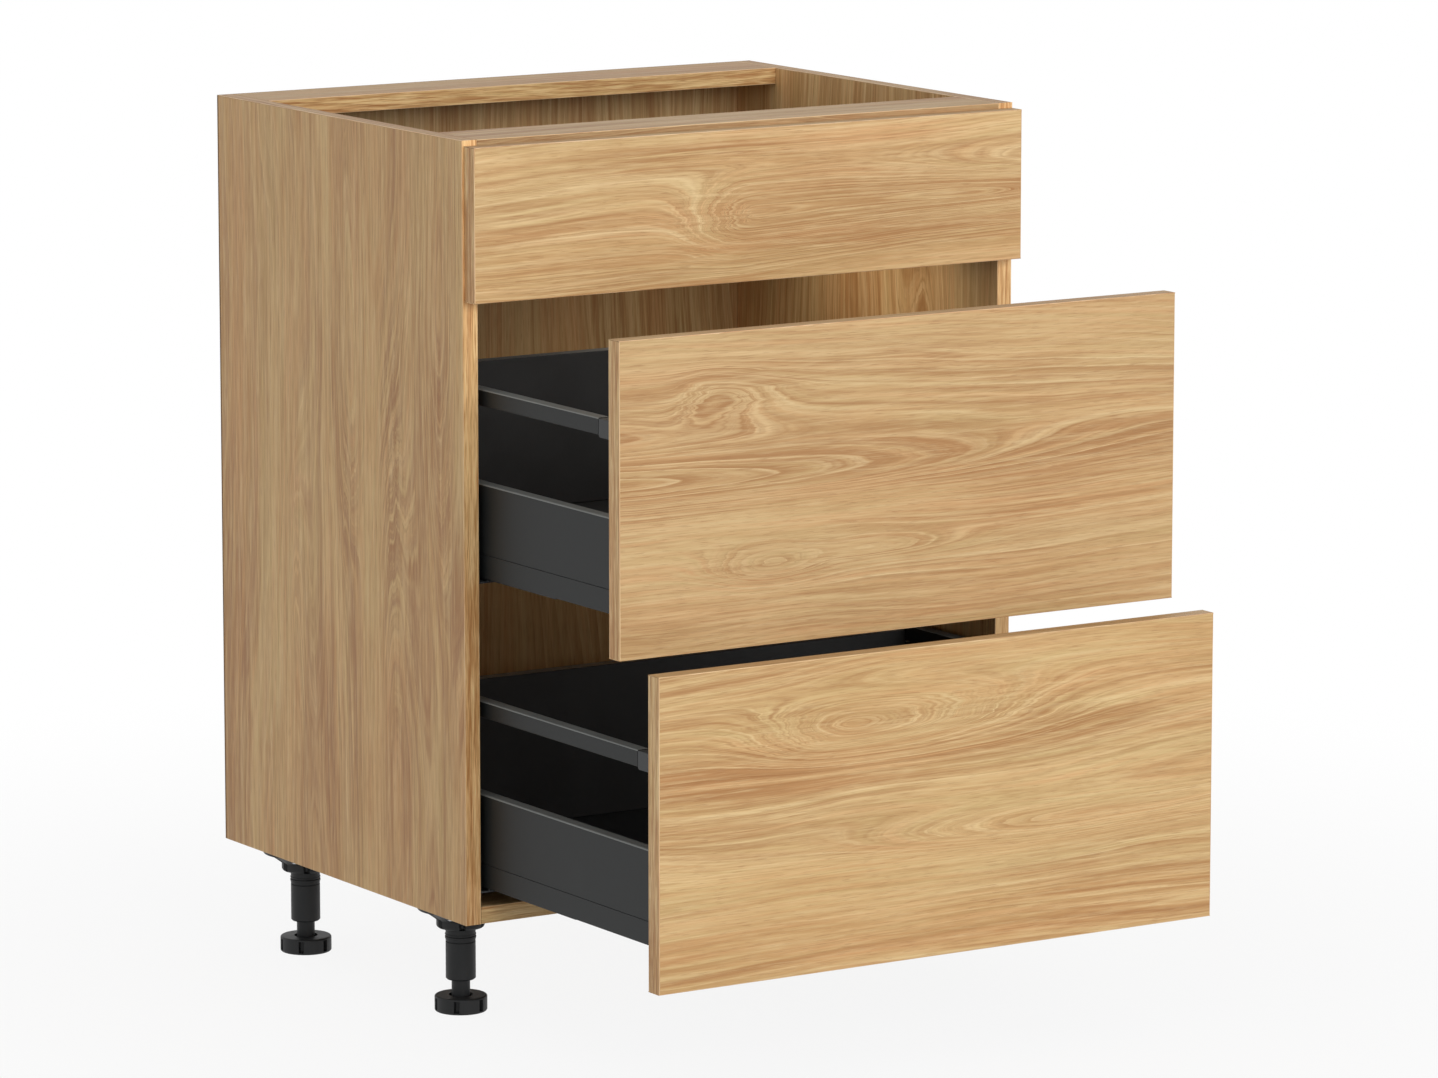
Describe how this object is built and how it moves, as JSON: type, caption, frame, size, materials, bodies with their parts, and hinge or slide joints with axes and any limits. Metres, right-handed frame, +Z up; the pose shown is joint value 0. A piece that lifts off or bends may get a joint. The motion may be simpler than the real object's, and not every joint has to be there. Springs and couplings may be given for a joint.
{
  "type": "base cabinet with drawers",
  "caption": "Kitchen base cabinet on adjustable legs: a shallow drawer above deep railed ones, steel-sided boxes on full-extension runners, handleless oak-look fronts.",
  "frame": {"origin": "middle of the floor area under the whole object in its rest pose, top drawer shut and the two deep drawers part open", "axes": "+X to the right seen from the front, fronts face -Y, +Z up"},
  "size_m": [0.6, 0.7876, 0.82],
  "materials": {
    "front_decor": "satin oak decor, grain across",
    "carcass_decor": "satin oak decor, grain upright on the sides",
    "back_board": "lacquered fibreboard in oak print",
    "black_board": "black melamine-faced board",
    "graphite_steel": "anthracite powder coat",
    "graphite_plastic": "anthracite moulded plastic",
    "zinc_steel": "bright zinc plate",
    "black_plastic": "black moulded plastic"
  },
  "bodies": {
    "cabinet": {"side_panel_left": "carcass_decor", "side_panel_right": "carcass_decor", "bottom_panel": "carcass_decor", "top_rail_front": "carcass_decor", "top_rail_rear": "carcass_decor", "back_board": "back_board", "leg_front_left_socket": "black_plastic", "leg_front_left_tube": "black_plastic", "leg_front_right_socket": "black_plastic", "leg_front_right_tube": "black_plastic", "leg_rear_left_socket": "black_plastic", "leg_rear_left_tube": "black_plastic", "leg_rear_right_socket": "black_plastic", "leg_rear_right_tube": "black_plastic", "runner_top_left_cabinet_member": "zinc_steel", "runner_top_right_cabinet_member": "zinc_steel", "runner_middle_left_cabinet_member": "zinc_steel", "runner_middle_right_cabinet_member": "zinc_steel", "runner_bottom_left_cabinet_member": "zinc_steel", "runner_bottom_right_cabinet_member": "zinc_steel"},
    "drawer_top_box": {"drawer_top_front": "front_decor", "drawer_top_floor": "black_board", "drawer_top_back": "black_board", "drawer_top_side_left": "graphite_steel", "runner_top_left_drawer_member": "zinc_steel", "drawer_top_side_right": "graphite_steel", "runner_top_right_drawer_member": "zinc_steel"},
    "drawer_middle_box": {"drawer_middle_front": "front_decor", "drawer_middle_floor": "black_board", "drawer_middle_back": "black_board", "drawer_middle_side_left": "graphite_steel", "drawer_middle_railing_left": "graphite_steel", "drawer_middle_railing_holder_left": "graphite_plastic", "runner_middle_left_drawer_member": "zinc_steel", "drawer_middle_side_right": "graphite_steel", "drawer_middle_railing_right": "graphite_steel", "drawer_middle_railing_holder_right": "graphite_plastic", "runner_middle_right_drawer_member": "zinc_steel"},
    "drawer_bottom_box": {"drawer_bottom_front": "front_decor", "drawer_bottom_floor": "black_board", "drawer_bottom_back": "black_board", "drawer_bottom_side_left": "graphite_steel", "drawer_bottom_railing_left": "graphite_steel", "drawer_bottom_railing_holder_left": "graphite_plastic", "runner_bottom_left_drawer_member": "zinc_steel", "drawer_bottom_side_right": "graphite_steel", "drawer_bottom_railing_right": "graphite_steel", "drawer_bottom_railing_holder_right": "graphite_plastic", "runner_bottom_right_drawer_member": "zinc_steel"},
    "runner_top_middles": {"runner_top_left_middle_member": "zinc_steel", "runner_top_right_middle_member": "zinc_steel"},
    "runner_middle_middles": {"runner_middle_left_middle_member": "zinc_steel", "runner_middle_right_middle_member": "zinc_steel"},
    "runner_bottom_middles": {"runner_bottom_left_middle_member": "zinc_steel", "runner_bottom_right_middle_member": "zinc_steel"},
    "foot_front_left": {"leg_front_left_foot": "black_plastic"},
    "foot_front_right": {"leg_front_right_foot": "black_plastic"},
    "foot_rear_left": {"leg_rear_left_foot": "black_plastic"},
    "foot_rear_right": {"leg_rear_right_foot": "black_plastic"}
  },
  "joints": [
    {"name": "drawer_top_slide", "type": "slide", "parent": "cabinet", "child": "drawer_top_box", "axis": [0, -1, 0], "range_m": [0, 0.445]},
    {"name": "drawer_middle_slide", "type": "slide", "parent": "cabinet", "child": "drawer_middle_box", "axis": [0, -1, 0], "range_m": [-0.2465, 0.1985]},
    {"name": "drawer_bottom_slide", "type": "slide", "parent": "cabinet", "child": "drawer_bottom_box", "axis": [0, -1, 0], "range_m": [-0.311, 0.134]},
    {"name": "runner_top_slide", "type": "slide", "parent": "cabinet", "child": "runner_top_middles", "axis": [0, -1, 0], "range_m": [0, 0.2225]},
    {"name": "runner_middle_slide", "type": "slide", "parent": "cabinet", "child": "runner_middle_middles", "axis": [0, -1, 0], "range_m": [-0.12325, 0.09925]},
    {"name": "runner_bottom_slide", "type": "slide", "parent": "cabinet", "child": "runner_bottom_middles", "axis": [0, -1, 0], "range_m": [-0.1555, 0.067]},
    {"name": "foot_front_left_screw", "type": "slide", "parent": "cabinet", "child": "foot_front_left", "axis": [0, 0, -1], "range_m": [-0.014, 0.02]},
    {"name": "foot_front_right_screw", "type": "slide", "parent": "cabinet", "child": "foot_front_right", "axis": [0, 0, -1], "range_m": [-0.014, 0.02]},
    {"name": "foot_rear_left_screw", "type": "slide", "parent": "cabinet", "child": "foot_rear_left", "axis": [0, 0, -1], "range_m": [-0.014, 0.02]},
    {"name": "foot_rear_right_screw", "type": "slide", "parent": "cabinet", "child": "foot_rear_right", "axis": [0, 0, -1], "range_m": [-0.014, 0.02]}
  ],
  "couplings": [
    {"joint": "runner_top_slide", "follows": "drawer_top_slide", "ratio": 0.5},
    {"joint": "runner_middle_slide", "follows": "drawer_middle_slide", "ratio": 0.5},
    {"joint": "runner_bottom_slide", "follows": "drawer_bottom_slide", "ratio": 0.5}
  ]
}
